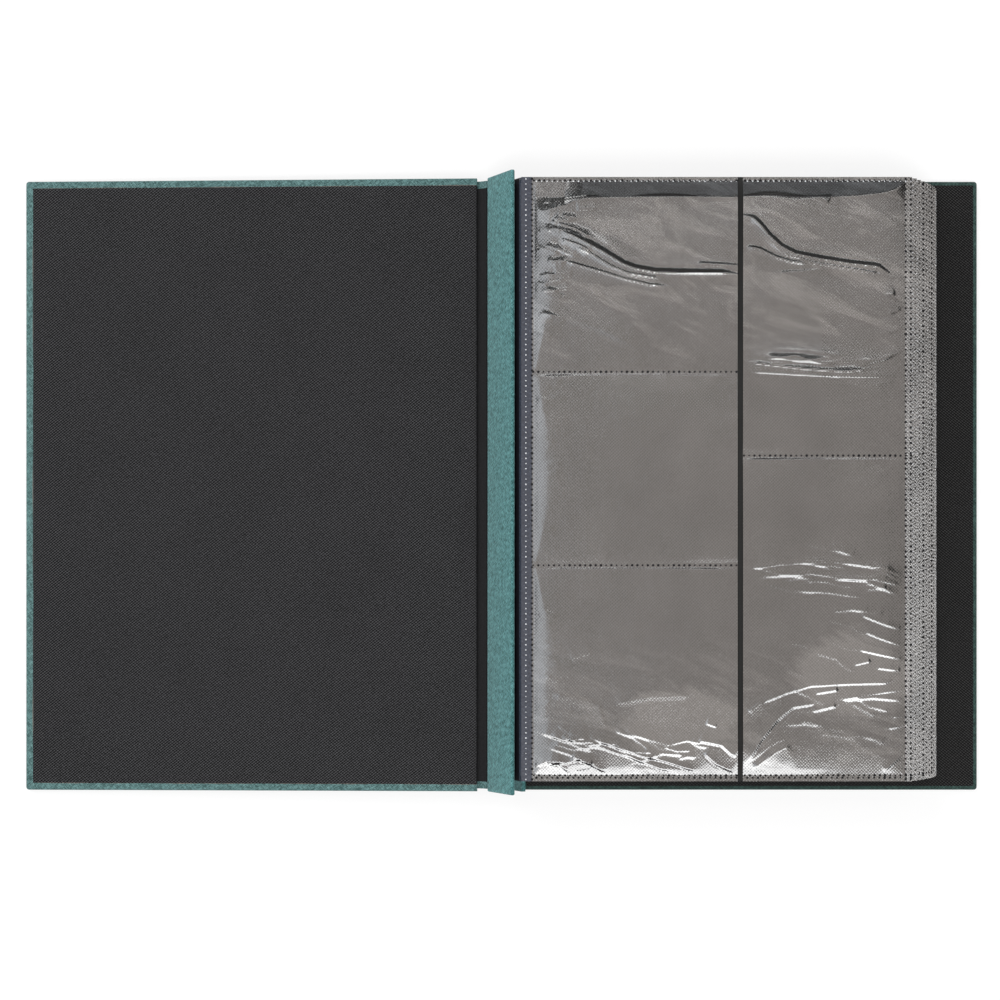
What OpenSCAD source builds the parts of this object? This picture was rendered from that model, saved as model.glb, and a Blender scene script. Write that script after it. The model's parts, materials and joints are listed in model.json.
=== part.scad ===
// Slip-in photo album, lying open: the front cover is folded back flat, the tilted binding leans its
// flap up beside the pages, and ten pocket leaves lie fanned on the back cover.
// X runs across the open album, Y along the binding, Z up from the table.

/* [Covers] */
// Height of both covers, along the binding
cover_h = 330; // [260:1:380]
// Width of one cover from its joint to its fore edge
cover_w = 245; // [236:1:300]
// Thickness of the grey boards
board_t = 2.5; // [1.5:0.1:3.5]
// Thickness of the book cloth
cloth_t = 0.4; // [0.3:0.05:0.6]
// Thickness of the black lining paper
lining_t = 0.35; // [0.2:0.05:0.5]
// Cloth turned in over the inside edges of a cover
turn_in = 3.8; // [2:0.1:12]
// Radius of the cover corners
corner_r = 1.6; // [0.8:0.1:4]
// Width of the cloth joint beside each cover
joint_w = 5; // [4:0.5:10]
// Distance of the joint's ends from the ends of the covers
joint_setback = 1.4; // [0:0.1:4]

/* [Binding] */
// Width of the cloth covered front flap
flap_w = 26; // [22:0.5:32]
// Thickness of the thin boards in the flap and in the back strip
flap_board_t = 1.5; // [1.3:0.1:2.5]
// Width of the clamped edge of the binding
clamp_w = 10; // [8.5:0.5:13]
// Lean of the binding while the album lies open
binding_tilt = 60; // [40:1:62]
// Distance from one leaf to the next in the clamped edge
leaf_pitch = 1.35; // [1.3:0.05:2]
// Barrel diameter of a screw post
post_d = 5; // [4:0.1:5.5]
// Diameter of a screw post head
post_head_d = 8; // [6.5:0.1:8.2]
// Thickness of a screw post head
post_head_t = 1; // [0.6:0.1:1.2]
// Thread diameter of the post screws
screw_d = 3; // [2:0.1:3.2]
// Distance from one screw post to the next
post_spacing = 110; // [60:1:120]

/* [Leaves] */
// Height of a leaf, along the binding
leaf_h = 317.5; // [250:0.5:320]
// Width of a leaf from its folding line to its fore edge
leaf_w = 204.5; // [190:0.5:210]
// Distance of the leaves from the middle of the covers, toward the top
leaf_shift = 1.5; // [0:0.5:4]
// Thickness of the black core sheet
core_t = 0.35; // [0.2:0.05:0.4]
// Thickness of the clear pocket film
film_t = 0.15; // [0.1:0.01:0.2]
// Slack between the film and the core
pocket_gap = 0.2; // [0.15:0.01:0.25]
// Width of the film margin between the clamped edge and the folding line
margin_w = 20; // [19:0.5:24]
// Thickness of the folded film margin and of its clamped tab
margin_t = 0.45; // [0.3:0.05:0.6]
// Width of a welded seam
seam_w = 1.6; // [1:0.1:3]
// Width of the welded border beside the folding line
border_w = 4.8; // [3:0.1:8]
// Width of the three small pockets beside the binding
column_w = 108; // [90:0.5:115]
// Bare core between the two columns of pockets
divider_w = 2.8; // [2:0.1:6]
// Height of the top and of the middle small pocket
small_pocket_h = 100; // [80:0.5:105]
// Height of the upper large pocket
large_pocket_h = 144; // [100:0.5:200]
// Free air between the lowest leaf and the back cover at the fore edge
rest_air = 0.6; // [0.4:0.1:3]

/* [Hidden] */
$fn = 48;
leaf_count = 10;
post_count = 3;
fit_clear = 0.1;
hinge_clear = 0.3;
fold_clear = 0.4;
margin_play = 2;
low_margin_angle = -5.5;
groove_end = 0.2;
teal = [0.33, 0.55, 0.54];
black = [0.15, 0.15, 0.16];
grey = [0.58, 0.55, 0.5];
steel = [0.75, 0.76, 0.78];
clear = [0.62, 0.63, 0.67];

cover_t = 2 * cloth_t + board_t;
flap_t = flap_board_t + 2 * cloth_t;
stack_t = leaf_count * leaf_pitch;
spacer_t = leaf_pitch - margin_t;
leaf_t = core_t + 2 * (pocket_gap + film_t);
block_t = 2 * flap_t + stack_t;
stack_v = hinge_clear + flap_t;
flap_v = stack_v + stack_t;
hinge_span = block_t + 2 * hinge_clear;
cover_reach = joint_w + cover_w;
clamp_end = hinge_clear + clamp_w;
post_u = hinge_clear + clamp_w / 2;

// Hinge lines of the covers, and the slope of the opened front cover down to the table
pivot_z = cover_t + hinge_clear;
front_z = pivot_z + hinge_span * cos(binding_tilt);
face_drop = hinge_clear + cover_t;
cover_lean = asin(front_z / norm([cover_reach, face_drop])) - atan(face_drop / cover_reach);
open_reach = cover_reach * cos(cover_lean) - hinge_clear * sin(cover_lean);
pivot_x = (hinge_span * sin(binding_tilt) + open_reach - cover_reach) / 2;
front_x = pivot_x - hinge_span * sin(binding_tilt);

// Where leaf 1 (top) to leaf 10 (bottom) leaves the clamp, folds, and comes to rest
function place(k) = (k - 1) / (leaf_count - 1);
function blend(a, b, s) = a + (b - a) * s;
function tab_v(k) = stack_v + (leaf_count - k + 0.5) * leaf_pitch;
function out_of_block(u, v) = [
    pivot_x + u * cos(binding_tilt) - v * sin(binding_tilt),
    0,
    pivot_z + u * sin(binding_tilt) + v * cos(binding_tilt)
];
function exit_at(k) = out_of_block(clamp_end + fold_clear, tab_v(k));
function margin_angle(k) = blend(binding_tilt - margin_play, low_margin_angle, place(k));
function fold_at(k) = exit_at(k) + (margin_w + fold_clear) * [cos(margin_angle(k)), 0, sin(margin_angle(k))];
low_edge_z = cover_t + rest_air + leaf_t / 2;
function edge_z(k) = blend(fold_at(1)[2], low_edge_z, place(k));
function leaf_angle(k) = asin((edge_z(k) - fold_at(k)[2]) / (fold_clear + leaf_w));

// Frames: the opened front cover, the flat back cover, the tilted binding and each leaf's two parts
module on_front() {
    translate([front_x, 0, front_z]) rotate([0, 180 - cover_lean, 0]) children();
}

module on_back() {
    translate([pivot_x, 0, pivot_z]) mirror([0, 0, 1]) children();
}

module on_block() {
    translate([pivot_x, 0, pivot_z]) rotate([0, -binding_tilt, 0]) children();
}

module on_margin(k) {
    translate(exit_at(k)) rotate([0, -margin_angle(k), 0]) children();
}

module on_leaf(k) {
    translate(fold_at(k)) rotate([0, -leaf_angle(k), 0]) children();
}

// A box from its low X and Z, centred on Y
module slab(x, z, size) {
    translate([x, -size[1] / 2, z]) cube(size);
}

// A plate centred on Y with two round corners on its high X side
module round_plate(x, z, size, radius) {
    translate([x, 0, z]) linear_extrude(size[2]) {
        translate([0, -size[1] / 2]) square([size[0] - radius, size[1]]);
        translate([0, radius - size[1] / 2]) square([size[0], size[1] - 2 * radius]);
        for (side = [-1, 1]) translate([size[0] - radius, side * (size[1] / 2 - radius)]) circle(radius);
    }
}

// Cover pieces, drawn from the hinge line with the inside face at the low Z side
module cover_board() {
    color(grey)
        round_plate(
            joint_w + lining_t, hinge_clear + cloth_t,
            [cover_w - cloth_t - lining_t, cover_h - 2 * cloth_t, board_t], corner_r - cloth_t
        );
}

module cover_cloth() {
    color(teal) difference() {
        round_plate(joint_w, hinge_clear, [cover_w, cover_h, cover_t], corner_r);
        round_plate(
            joint_w - cloth_t, hinge_clear + cloth_t,
            [cover_w, cover_h - 2 * cloth_t, board_t], corner_r - cloth_t
        );
        slab(joint_w - cloth_t, 0, [cover_w + cloth_t - turn_in, cover_h - 2 * turn_in, face_drop / 2]);
    }
}

module cover_lining() {
    paper_z = hinge_clear + cloth_t - lining_t;
    paper_h = cover_h - 2 * turn_in - 2 * fit_clear;
    color(black) {
        slab(joint_w, paper_z, [cover_w - turn_in - fit_clear, paper_h, lining_t]);
        slab(joint_w, paper_z, [lining_t, paper_h, lining_t + board_t]);
    }
}

// Cloth groove between the hinge line and the cover, rising from the outer face to the hinge
module cover_joint() {
    outer = face_drop;
    color(black) rotate([90, 0, 0]) linear_extrude(cover_h - 2 * joint_setback, center = true) polygon([
        [joint_w, outer - cloth_t - lining_t], [joint_w, outer],
        [groove_end, hinge_clear + cloth_t + lining_t], [groove_end, hinge_clear]
    ]);
}

// Cloth wrapped board of the binding
module wrapped_board(v, width) {
    slab(hinge_clear + cloth_t, v + cloth_t, [width - 2 * cloth_t, cover_h - 2 * cloth_t, flap_board_t]);
}

module wrapping(v, width) {
    difference() {
        slab(hinge_clear, v, [width, cover_h, flap_t]);
        wrapped_board(v, width);
    }
}

// Upright rounds at the screw posts
module at_posts(v, diameter, height) {
    for (i = [0 : post_count - 1])
        translate([post_u, (i - (post_count - 1) / 2) * post_spacing, v]) cylinder(h = height, d = diameter);
}

head_v = flap_v + cloth_t + flap_board_t - post_head_t;
screw_head_v = hinge_clear + cloth_t;
post_end_v = screw_head_v + post_head_t + fit_clear;

module front_board() on_front() cover_board();
module front_cloth() on_front() cover_cloth();
module front_lining() on_front() cover_lining();
module front_joint() on_front() cover_joint();
module back_board() on_back() cover_board();
module back_cloth() on_back() cover_cloth();
module back_lining() on_back() cover_lining();
module back_joint() on_back() cover_joint();

module flap_board() {
    color(grey) on_block() difference() {
        wrapped_board(flap_v, flap_w);
        at_posts(flap_v, post_d + 2 * fit_clear, flap_t);
        at_posts(head_v, post_head_d + 2 * fit_clear, flap_t);
    }
}

module flap_cloth() {
    color(teal) on_block() difference() {
        wrapping(flap_v, flap_w);
        at_posts(flap_v - cloth_t, post_d + 2 * fit_clear, flap_t);
    }
}

module strip_board() {
    color(grey) on_block() difference() {
        wrapped_board(hinge_clear, clamp_w);
        at_posts(0, post_d + 2 * fit_clear, stack_v);
        at_posts(0, post_head_d + 2 * fit_clear, post_end_v);
    }
}

module strip_cloth() {
    color(teal) on_block() difference() {
        wrapping(hinge_clear, clamp_w);
        at_posts(hinge_clear + flap_t / 2, post_d + 2 * fit_clear, flap_t);
        at_posts(0, post_head_d + 2 * fit_clear, hinge_clear + flap_t / 2);
    }
}

module screw_posts() {
    color(steel) on_block() difference() {
        union() {
            at_posts(head_v, post_head_d, post_head_t);
            at_posts(post_end_v, post_d, head_v - post_end_v);
        }
        at_posts(post_end_v - fit_clear, screw_d, stack_t);
    }
}

module post_screws() {
    color(steel) on_block() {
        at_posts(screw_head_v, post_head_d, post_head_t);
        at_posts(screw_head_v, screw_d - fit_clear, stack_t);
    }
}

module punched_strip(v, thick) {
    difference() {
        translate([0, leaf_shift, 0]) slab(hinge_clear, v, [clamp_w, leaf_h, thick]);
        at_posts(v - thick, post_d + 2 * fit_clear, 3 * thick);
    }
}

module spacer_strips() {
    color(black) on_block() for (i = [0 : leaf_count]) {
        low = max(0, i * leaf_pitch - spacer_t / 2);
        high = min(stack_t, i * leaf_pitch + spacer_t / 2);
        punched_strip(stack_v + low, high - low);
    }
}

module leaf_tabs() {
    color(clear) on_block() for (k = [1 : leaf_count]) punched_strip(tab_v(k) - margin_t / 2, margin_t);
}

// Leaf pieces, drawn from the line that each one folds on
module margin(k) {
    color(clear) on_margin(k) translate([0, leaf_shift, -margin_t / 2])
        slab(fold_clear, 0, [margin_w - fold_clear, leaf_h, margin_t]);
}

module core(k) {
    color(black) on_leaf(k) translate([0, leaf_shift, 0])
        slab(fold_clear, -core_t / 2, [leaf_w, leaf_h, core_t]);
}

// One column of pockets on the upper face: film held off the core by seams round three sides
module pocket_film(x, width, mouth_high, rows) {
    seam_z = core_t / 2;
    side_x = mouth_high ? x : x + width - seam_w;
    slab(x, seam_z + pocket_gap, [width, leaf_h, film_t]);
    slab(side_x, seam_z, [seam_w, leaf_h, pocket_gap]);
    for (y = concat([leaf_h / 2, seam_w - leaf_h / 2], rows))
        translate([x, y - seam_w, seam_z]) cube([width, seam_w, pocket_gap]);
}

module film_face() {
    left_x = fold_clear + border_w;
    right_x = left_x + column_w + divider_w;
    right_w = fold_clear + leaf_w - right_x;
    border_z = core_t / 2;
    slab(fold_clear, border_z, [border_w, leaf_h, film_t]);
    pocket_film(left_x, column_w, true, [for (i = [1, 2]) leaf_h / 2 - i * (small_pocket_h + seam_w)]);
    pocket_film(right_x, right_w, false, [leaf_h / 2 - large_pocket_h - seam_w]);
}

module film(k) {
    color(clear) on_leaf(k) translate([0, leaf_shift, 0]) {
        film_face();
        mirror([0, 0, 1]) film_face();
    }
}

front_board();
front_cloth();
front_lining();
front_joint();
flap_board();
flap_cloth();
strip_board();
strip_cloth();
screw_posts();
post_screws();
spacer_strips();
leaf_tabs();
back_board();
back_cloth();
back_lining();
back_joint();
margin(1);  // margin_01
margin(2);  // margin_02
margin(3);  // margin_03
margin(4);  // margin_04
margin(5);  // margin_05
margin(6);  // margin_06
margin(7);  // margin_07
margin(8);  // margin_08
margin(9);  // margin_09
margin(10);  // margin_10
core(1);  // core_01
core(2);  // core_02
core(3);  // core_03
core(4);  // core_04
core(5);  // core_05
core(6);  // core_06
core(7);  // core_07
core(8);  // core_08
core(9);  // core_09
core(10);  // core_10
film(1);  // film_01
film(2);  // film_02
film(3);  // film_03
film(4);  // film_04
film(5);  // film_05
film(6);  // film_06
film(7);  // film_07
film(8);  // film_08
film(9);  // film_09
film(10);  // film_10
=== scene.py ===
import json
import math
import bpy
import numpy as np
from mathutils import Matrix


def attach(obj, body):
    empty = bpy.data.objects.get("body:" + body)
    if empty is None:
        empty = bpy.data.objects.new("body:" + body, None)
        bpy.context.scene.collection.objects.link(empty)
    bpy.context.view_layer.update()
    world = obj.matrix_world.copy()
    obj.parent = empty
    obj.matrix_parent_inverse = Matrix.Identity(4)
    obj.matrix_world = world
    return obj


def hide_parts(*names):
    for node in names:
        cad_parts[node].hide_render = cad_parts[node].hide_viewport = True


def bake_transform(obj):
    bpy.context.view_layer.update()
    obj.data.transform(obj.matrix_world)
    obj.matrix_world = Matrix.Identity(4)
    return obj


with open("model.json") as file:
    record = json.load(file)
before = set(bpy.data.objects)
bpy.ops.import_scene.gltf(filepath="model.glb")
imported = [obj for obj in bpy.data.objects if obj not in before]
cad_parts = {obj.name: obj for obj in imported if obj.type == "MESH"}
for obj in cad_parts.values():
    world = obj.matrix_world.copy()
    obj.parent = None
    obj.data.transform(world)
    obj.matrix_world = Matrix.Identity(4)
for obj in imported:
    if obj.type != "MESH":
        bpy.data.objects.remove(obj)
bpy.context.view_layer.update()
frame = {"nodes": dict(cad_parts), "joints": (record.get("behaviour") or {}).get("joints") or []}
scene = bpy.context.scene
joints = {j["name"]: j for j in frame["joints"]}
print("frame loaded,", len(frame["nodes"]), "nodes")

mm, mapUnit = 1000, 100  # millimetres in a metre, and in one unit of a piece's own map
sharpAngle = 38  # edges that turn more than this stay sharp

# sizes of the part in mm, as in its source
albumSize = {
    "coverHeight": 330, "coverWidth": 245, "coverThick": 3.3, "clothThick": 0.4, "liningThick": 0.35,
    "turnIn": 3.8, "cornerRadius": 1.6, "jointWidth": 5, "jointSetback": 1.4, "hingeGap": 0.3,
    "flapWidth": 26, "flapThick": 2.3, "stackThick": 13.5, "tilt": 60,
    "leafHeight": 317.5, "leafWidth": 204.5, "leafShift": 1.5, "coreThick": 0.35, "filmThick": 0.15,
    "pocketGap": 0.2, "marginThick": 0.45, "foldGap": 0.4, "seamWidth": 1.6,
    "borderWidth": 4.8, "columnWidth": 108, "dividerWidth": 2.8, "smallPocket": 100, "largePocket": 144,
    "restAir": 0.6, "leafCount": 10,
}
leafNumbers = range(1, albumSize["leafCount"] + 1)  # from the top down


def jointPoint(name):
    return np.array(joints[name]["pos_m"], float) * mm


def turned(origin, degrees):  # a place whose X climbs by that angle, in mm
    c, s = math.cos(math.radians(degrees)), math.sin(math.radians(degrees))
    return np.array(origin, float), np.array([[c, 0, s], [0, 1, 0], [-s, 0, c]])


swing = joints["cover_swing"]["range_deg"][1]
coverLean = math.radians(swing - 180 + albumSize["tilt"])  # slope of the opened cover down to the table
leanCos, leanSin = math.cos(coverLean), math.sin(coverLean)
frontPlace = jointPoint("cover_swing"), np.array([[-leanCos, 0, -leanSin], [0, 1, 0], [leanSin, 0, -leanCos]])
backPlace = jointPoint("binding_tilt"), np.array([[1.0, 0, 0], [0, 1, 0], [0, 0, -1]])
blockPlace = turned(jointPoint("binding_tilt"), albumSize["tilt"])


def leafPlace(k):  # at the leaf's fold, sloping to its resting edge
    a = albumSize
    fold, first = jointPoint("leaf_%02d_turn" % k), jointPoint("leaf_01_turn")
    low = a["coverThick"] + a["restAir"] + a["coreThick"] / 2 + a["pocketGap"] + a["filmThick"]
    edge = first[2] + (low - first[2]) * ((k - 1) / (a["leafCount"] - 1))
    return turned(fold, math.degrees(math.asin((edge - fold[2]) / (a["foldGap"] + a["leafWidth"]))))


# mesh helpers
def gridFaces(n, m):
    i, j = np.meshgrid(np.arange(n - 1), np.arange(m - 1), indexing="ij")
    a = (i * m + j).ravel()
    return np.stack([a, a + m, a + m + 1, a + 1], 1).tolist()


def settle(piece):  # modifiers become plain mesh
    graph = bpy.context.evaluated_depsgraph_get()
    graph.update()
    mesh = bpy.data.meshes.new_from_object(piece.evaluated_get(graph))
    piece.modifiers.clear()
    mesh.name = piece.name
    piece.data = mesh


def toScene(name, data):
    made = bpy.data.objects.new(name, data)
    scene.collection.objects.link(made)
    return made


def newPiece(name, points, faces, material, place, thick=0, toward=None, flat=None):
    origin, axes = place
    points = np.asarray(points, float)
    if toward is not None:  # the first face looks this way, in the piece's own place
        p = points[faces[0][:3]]
        if np.dot(np.cross(p[1] - p[0], p[2] - p[1]), toward) < 0:
            faces = [f[::-1] for f in faces]
    if np.linalg.det(axes) < 0:
        faces = [f[::-1] for f in faces]
    mesh = bpy.data.meshes.new(name)
    mesh.from_pydata(((origin + points @ axes) / mm).tolist(), [], faces)
    if flat is None:  # flat is where each point lies on the sheet before it is folded
        flat = np.stack([points[:, 0] + points[:, 2], points[:, 1] + points[:, 2]], 1)
    index = np.zeros(len(mesh.loops), np.int32)
    mesh.loops.foreach_get("vertex_index", index)
    uv = (np.asarray(flat, float) / mapUnit)[index]
    mesh.uv_layers.new(name="surface").data.foreach_set("uv", uv.astype(np.float32).ravel())
    mesh.polygons.foreach_set("use_smooth", [True] * len(mesh.polygons))
    mesh.materials.append(material)
    mesh.update()
    piece = toScene(name, mesh)
    if thick:
        wall = piece.modifiers.new("wall", "SOLIDIFY")
        wall.thickness, wall.offset, wall.use_quality_normals = thick / mm, -1, True
        settle(piece)
    piece.data.set_sharp_from_angle(angle=math.radians(sharpAngle))
    return piece


def lengths(path):  # distance along a path to each of its points
    return np.append(0, np.cumsum(np.hypot(*np.diff(np.array(path), axis=0).T)))


def arc(cx, cz, r, start, end, steps):
    return [(cx + r * math.cos(math.radians(t)), cz + r * math.sin(math.radians(t)))
            for t in np.linspace(start, end, steps)]


def ribbon(profile, ys):  # a sheet with this section, in X and Z, along Y
    points = [(x, y, z) for x, z in profile for y in ys]
    return points, gridFaces(len(profile), len(ys)), [(s, y) for s in lengths(profile) for y in ys]


# material helpers
def newMaterial(name):
    material = bpy.data.materials.new(name)
    material.use_nodes = True
    tree = material.node_tree
    return material, tree, tree.nodes["Principled BSDF"]


def feed(tree, made, inputs):  # numbers and colours are set, outputs are linked
    for key, value in inputs.items():
        if isinstance(value, (int, float, tuple)):
            made.inputs[key].default_value = value
        else:
            tree.links.new(value, made.inputs[key])


def node(tree, kind, **inputs):  # its own options, and what feeds its sockets
    made = tree.nodes.new(kind)
    for key, value in inputs.items():
        if hasattr(made, key):
            setattr(made, key, value)
        else:
            feed(tree, made, {key.replace("_", " "): value})
    return made


def mathNode(tree, operation, *values):
    made = node(tree, "ShaderNodeMath", operation=operation)
    feed(tree, made, dict(enumerate(values)))
    return made.outputs[0]


def add(tree, a, b):
    return mathNode(tree, "ADD", a, b)


def times(tree, a, b):
    return mathNode(tree, "MULTIPLY", a, b)


def colourMix(tree, factor, low, high):
    mix = node(tree, "ShaderNodeMix", data_type="RGBA")
    feed(tree, mix, {0: factor, 6: (*low, 1), 7: (*high, 1)})
    return mix.outputs[2]


def rangeOf(tree, value, low, high, toLow=0.0, toHigh=1.0):
    made = node(tree, "ShaderNodeMapRange")
    feed(tree, made, dict(enumerate((value, low, high, toLow, toHigh))))
    return made.outputs[0]


def bump(tree, height, strength, distance):
    return node(tree, "ShaderNodeBump", Height=height, Strength=strength, Distance=distance).outputs["Normal"]


def mapped(tree, vector, **inputs):
    return node(tree, "ShaderNodeMapping", Vector=vector, **inputs).outputs[0]


def waveLines(tree, vector, turn, pitch, waver, waverScale=1.0):  # even ridges at an angle
    across = mapped(tree, vector, Rotation=(0, 0, math.radians(turn)))
    return node(tree, "ShaderNodeTexWave", Vector=across, Scale=math.pi / 10 / pitch, Distortion=waver, Detail=1.0,
                Detail_Scale=waverScale).outputs["Fac"]


def newGroup(name, values, outputs):  # a Vector and named values in, masks out
    group = bpy.data.node_groups.new(name, "ShaderNodeTree")
    group.interface.new_socket(name="Vector", in_out="INPUT", socket_type="NodeSocketVector")
    for key, value in values.items():
        group.interface.new_socket(name=key, in_out="INPUT", socket_type="NodeSocketFloat").default_value = value
    for key in outputs:
        group.interface.new_socket(name=key, in_out="OUTPUT", socket_type="NodeSocketFloat")
    return group, group.nodes.new("NodeGroupInput"), group.nodes.new("NodeGroupOutput")


def useGroup(tree, group, vector, **values):
    made = tree.nodes.new("ShaderNodeGroup")
    made.node_tree = group
    feed(tree, made, {"Vector": vector, **values})
    return made


# woven threads: raised checks of warp and weft with broken flecks, Vector in mm
def makeThreads():
    group, given, out = newGroup("threads", {"Pitch": 0.6, "Slub": 2.5}, ("Height", "Fleck"))
    split = node(group, "ShaderNodeSeparateXYZ", Vector=given.outputs["Vector"])
    turns = mathNode(group, "DIVIDE", math.pi, given.outputs["Pitch"])
    warp, weft = (mathNode(group, "SINE", times(group, split.outputs[i], turns)) for i in (0, 1))
    over = mathNode(group, "GREATER_THAN", times(group, warp, weft), 0)
    up = times(group, mathNode(group, "ABSOLUTE", warp), over)
    down = times(group, mathNode(group, "ABSOLUTE", weft), mathNode(group, "SUBTRACT", 1, over))
    fleck = []
    for stretch in ((0.18, 1.3, 1), (1.3, 0.18, 1)):  # slubs along each thread direction
        shape = mapped(group, given.outputs["Vector"], Scale=stretch)
        fleck.append(node(group, "ShaderNodeTexNoise", noise_dimensions="2D", Vector=shape, Scale=given.outputs["Slub"],
                          Detail=2.0, Roughness=0.6).outputs[0])
    feed(group, out, {"Height": add(group, up, down), "Fleck": times(group, add(group, *fleck), 0.5)})
    return group


# slow change of tone over a surface, Vector in mm
def makeMottle():
    group, given, out = newGroup("mottle", {"Scale": 0.05, "Contrast": 1.0}, ("Tone",))
    noise = node(group, "ShaderNodeTexNoise", Vector=given.outputs["Vector"], Scale=given.outputs["Scale"], Detail=4.0,
                 Roughness=0.55)
    spread = times(group, mathNode(group, "SUBTRACT", noise.outputs[0], 0.5), given.outputs["Contrast"])
    feed(group, out, {"Tone": add(group, spread, 0.5)})
    return group


threads, mottle = makeThreads(), makeMottle()


def toneOf(tree, vector, scale, contrast):
    return useGroup(tree, mottle, vector, Scale=scale, Contrast=contrast).outputs[0]


def surfaceVector(tree, turn=0):  # the piece's own map, in mm
    source = node(tree, "ShaderNodeUVMap", uv_map="surface")
    return mapped(tree, source.outputs[0], Rotation=(0, 0, math.radians(turn)), Scale=(mapUnit,) * 3)


def objectVector(tree, tilt=0):  # place in the album, in mm
    source = node(tree, "ShaderNodeTexCoord")
    place = mapped(tree, source.outputs["Object"], Rotation=(0, math.radians(tilt), 0), Scale=(mm,) * 3)
    if not tilt:
        return place
    x, y, z = node(tree, "ShaderNodeSeparateXYZ", Vector=place).outputs
    x, y = add(tree, x, z), add(tree, y, times(tree, z, 0.7))  # the pattern turns down over the edges
    return node(tree, "ShaderNodeCombineXYZ", X=x, Y=y).outputs[0]


# book cloth, with its darkest and lightest threads; binding and covers are one cloth, and the covers' copies are
# painted darker as shade
clothColours = {
    "binding": ((0.006, 0.044, 0.044), (0.091, 0.245, 0.249)),
    "front": ((0.013, 0.038, 0.037), (0.100, 0.192, 0.190)),  # painted shade: the same cloth painted darker for the covers
    # painted shade: the back cover's copy is much darker, standing in for the shade of the leaves over it
    "back": ((0.004, 0.013, 0.011), (0.030, 0.066, 0.057)),
}
clothWeave = {"pitch": 0.62, "slub": 1.7, "turn": 38, "fleck": (0.43, 0.59), "fleckShare": 0.75, "threadShare": 0.2,
              "toneScale": 0.09, "toneShare": 0.5, "rough": (0.92, 0.78), "relief": 0.00018}


def makeBookCloth(name, colours, tilt=None):
    material, tree, shader = newMaterial(name)
    c = clothWeave
    vector = surfaceVector(tree, c["turn"]) if tilt is None else objectVector(tree, tilt)
    weave = useGroup(tree, threads, vector, Pitch=c["pitch"], Slub=c["slub"])
    tone = toneOf(tree, vector, c["toneScale"], 0.5)
    fleck = rangeOf(tree, weave.outputs["Fleck"], *c["fleck"])
    lift = add(tree, times(tree, fleck, c["fleckShare"]), times(tree, weave.outputs["Height"], c["threadShare"]))
    lift = add(tree, lift, times(tree, mathNode(tree, "SUBTRACT", tone, 0.5), c["toneShare"]))
    feed(tree, shader, {
        "Base Color": colourMix(tree, lift, *colours), "Roughness": rangeOf(tree, fleck, 0, 1, *c["rough"]),
        "Normal": bump(tree, add(tree, weave.outputs["Height"], fleck), 0.35, c["relief"]),
        "Specular IOR Level": 0.25, "Sheen Weight": 0.15, "Sheen Roughness": 0.5})
    return material


# lining paper: twill of two crossed sets of ridges, each with its direction, pitch and share
# painted shade: backLight and backGap make the back lining darker than the front, for the shade the leaves cast on it
liningLook = {"dark": (0.001, 0.001, 0.001), "frontLight": (0.0425, 0.0425, 0.0455), "backLight": (0.030, 0.030, 0.030),
              "ridges": ((52, 1.12, 0.6), (-47, 1.3216, 0.4)), "waver": (1.2, 3.0), "frontGap": 0.46, "backGap": 0.52,
              "ridgeEdge": 0.26, "rough": (0.52, 0.7), "relief": 0.0001}


def makeLiningPaper(side):
    material, tree, shader = newMaterial(side + "LiningPaper")
    look, vector = liningLook, surfaceVector(tree)
    twill = add(tree, *(times(tree, waveLines(tree, vector, turn, pitch, *look["waver"]), share)
                        for turn, pitch, share in look["ridges"]))
    tone, slow = toneOf(tree, vector, 0.5, 1.2), toneOf(tree, vector, 0.02, 0.5)
    gap = look[side + "Gap"]
    lift = times(tree, rangeOf(tree, twill, gap, gap + look["ridgeEdge"]), add(tree, tone, slow))
    feed(tree, shader, {
        "Base Color": colourMix(tree, lift, look["dark"], look[side + "Light"]),
        "Roughness": rangeOf(tree, tone, 0, 1, *look["rough"]),
        "Normal": bump(tree, twill, 0.4, look["relief"]), "Specular IOR Level": 0.08})
    return material


# pocket film: four numbers are a range and what it turns into, places and sizes are in mm
filmLook = {
    "seen": (0.001, 0.001, 0.001), "haze": (0.012, 0.0115, 0.011), "edgeHaze": (0.105, 0.10, 0.096),
    "relief": 0.00014, "edgeRelief": 0.0009, "rough": (0.07, 0.2), "hatch": 1.2, "hatchTurns": (46, -44),
    "hatchWaver": 1.5, "thin": (-150, 150, 0.68, 1.3), "pullTurn": 22, "pullScale": (0.022, 0.085, 0.05),
    # painted reflection: the next streaks and patches raise the coat where glare is wanted
    "glareStreaks": (0.48, 0.64, 0.0, 0.8), "headGlare": (45, 85, 0, 0.6), "footGlare": (-70, -125, 0, 0.5),
    "glarePatches": (((94, -127, 37), (34, 21, 40)), ((184, -101, 37), (34, 26, 40))), "glarePatchEdge": (1.5, 1.24, 0.0, 0.55),
    "hatchShare": 0.6, "grainShare": 0.4, "slowShare": 0.25, "coat": (0.25, 0.95, 0.02, 0.66),
}


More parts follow.
